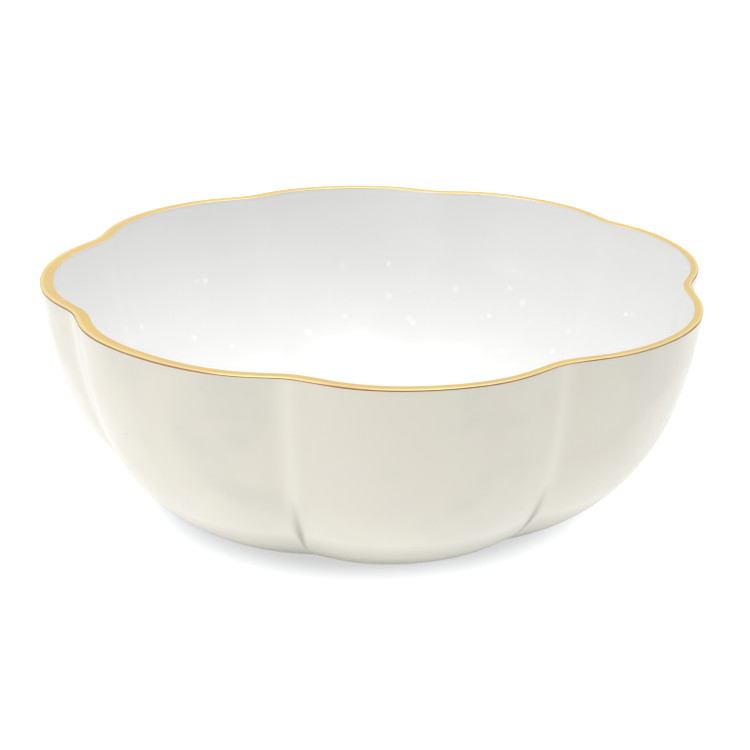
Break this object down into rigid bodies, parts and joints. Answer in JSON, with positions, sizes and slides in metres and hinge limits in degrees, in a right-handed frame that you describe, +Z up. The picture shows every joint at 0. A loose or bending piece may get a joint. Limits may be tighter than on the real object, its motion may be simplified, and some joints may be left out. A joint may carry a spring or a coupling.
{
  "type": "serving bowl",
  "caption": "Round porcelain serving bowl with a lobed, grooved wall, ivory outside and white inside, and a flat gilded lip. It stands on a low foot ring.",
  "frame": {"origin": "on the bowl's axis, at the level of the surface that the foot ring stands on", "axes": "+Z up along the bowl's axis; +X through the crest of one lobe"},
  "size_m": [0.2702, 0.2702, 0.0993],
  "materials": {
    "bisque": "matte",
    "foot": "matte",
    "ivory_glaze": "gloss",
    "white_glaze": "gloss",
    "gilding": "polished"
  },
  "bodies": {
    "root": {"porcelain_body": "bisque", "foot_ring": "foot", "outer_glaze": "ivory_glaze", "inner_glaze": "white_glaze", "base_glaze": "ivory_glaze", "gold_rim_band": "gilding"}
  },
  "joints": []
}
